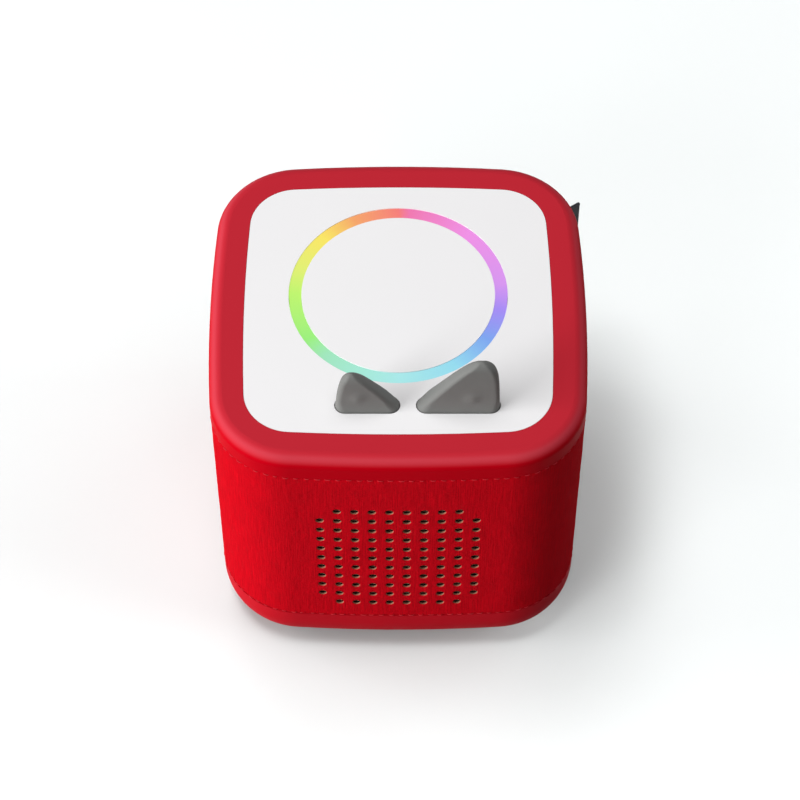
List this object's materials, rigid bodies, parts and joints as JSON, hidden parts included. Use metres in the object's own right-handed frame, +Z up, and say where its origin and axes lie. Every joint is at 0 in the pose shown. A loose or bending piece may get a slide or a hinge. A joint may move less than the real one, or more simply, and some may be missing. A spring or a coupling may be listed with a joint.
{
  "type": "audio story player",
  "caption": "Padded fabric cube audio player for small children, with a lit ring for a figure, two ear-shaped volume buttons and rear sockets.",
  "frame": {"origin": "on the floor, under the middle of the body and level with the undersides of the feet", "axes": "+Z up; -Y is the front with the speaker holes; +Y is the back with the sockets; the ribbon tab is at the +X, +Y corner"},
  "size_m": [0.1204, 0.1201, 0.1359],
  "materials": {
    "red_rim": "smooth silk-matt moulded elastomer",
    "red_fabric": "fine vertical knit",
    "foam": "closed-cell foam",
    "dark_ribbon": "woven ribbon",
    "sound_cloth": "open woven cloth",
    "grille": "moulded",
    "housing": "moulded",
    "base": "fine moulded grain",
    "foot_rubber": "matt",
    "white_panel": "satin moulded",
    "white_inner": "moulded",
    "light_ring": "satin diffuser, lit from below",
    "ear_grey": "soft-touch matt",
    "key_plastic": "moulded",
    "spring_steel": "bright wire",
    "screws": "zinc plated",
    "circuit_board": "green solder mask",
    "antenna_board": "white solder mask",
    "copper": "bare metal",
    "contact_metal": "nickel plated",
    "black_parts": "moulded",
    "capacitor_can": "drawn can",
    "connector": "moulded",
    "lamp": "clear resin",
    "ribbon_cable": "flat flexible cable",
    "speaker_wire": "insulated wire",
    "battery_wire": "insulated wire",
    "battery_sleeve": "cells in a shrink sleeve",
    "ferrite": "ground ferrite",
    "magnet_plating": "nickel plated",
    "speaker_steel": "zinc plated",
    "cone_paper": "pressed pulp",
    "surround_rubber": "matt",
    "port_plastic": "satin moulded",
    "button_plastic": "satin moulded",
    "usb_metal": "tin plated"
  },
  "bodies": {
    "player": {"top_rim": "red_rim", "bottom_rim": "red_rim", "fabric_band": "red_fabric", "foam_band": "foam", "side_tab": "dark_ribbon", "speaker_cloth": "sound_cloth", "speaker_grille": "grille", "lower_housing": "housing", "deck": "housing", "top_frame": "housing", "base_plate": "base", "battery_door": "base", "battery_tray": "base", "foot_pads": "foot_rubber", "top_panel": "white_panel", "figure_plate": "white_panel", "ring_carrier": "white_inner", "light_ring": "light_ring", "small_ear_springs": "spring_steel", "large_ear_springs": "spring_steel", "housing_screws": "screws", "board_screws": "screws", "speaker_screws": "screws", "battery_door_screws": "screws", "main_board": "circuit_board", "control_board": "circuit_board", "antenna_board": "antenna_board", "antenna_coil": "copper", "voice_coil": "copper", "battery_contacts": "contact_metal", "chips": "black_parts", "ear_switches": "black_parts", "power_switch": "black_parts", "headphone_socket": "black_parts", "capacitors": "capacitor_can", "board_connectors": "connector", "speaker_terminal": "connector", "lamps": "lamp", "ribbon_cable": "ribbon_cable", "speaker_leads": "speaker_wire", "battery_leads": "battery_wire", "battery_cells": "battery_sleeve", "speaker_magnet": "ferrite", "platform_magnet": "magnet_plating", "speaker_basket": "speaker_steel", "speaker_top_plate": "speaker_steel", "speaker_yoke": "speaker_steel", "speaker_cone": "cone_paper", "dust_cap": "cone_paper", "speaker_surround": "surround_rubber", "speaker_gasket": "surround_rubber", "port_plate": "port_plastic", "usb_socket": "usb_metal"},
    "small_ear_key": {"small_ear": "ear_grey", "small_ear_carrier": "key_plastic", "small_ear_plunger": "key_plastic"},
    "large_ear_key": {"large_ear": "ear_grey", "large_ear_carrier": "key_plastic", "large_ear_plunger": "key_plastic"},
    "power_key": {"power_button": "button_plastic"}
  },
  "joints": [
    {"name": "small_ear_press", "type": "slide", "parent": "player", "child": "small_ear_key", "axis": [0, 0, -1], "range_m": [0, 0.0012], "stiffness_N_per_m": 400, "springref_m": -0.001, "deforming": ["small_ear_springs"]},
    {"name": "large_ear_press", "type": "slide", "parent": "player", "child": "large_ear_key", "axis": [0, 0, -1], "range_m": [0, 0.0012], "stiffness_N_per_m": 400, "springref_m": -0.001, "deforming": ["large_ear_springs"]},
    {"name": "power_press", "type": "slide", "parent": "player", "child": "power_key", "axis": [0, -1, 0], "range_m": [0, 0.0008], "stiffness_N_per_m": 400, "springref_m": -0.001}
  ]
}
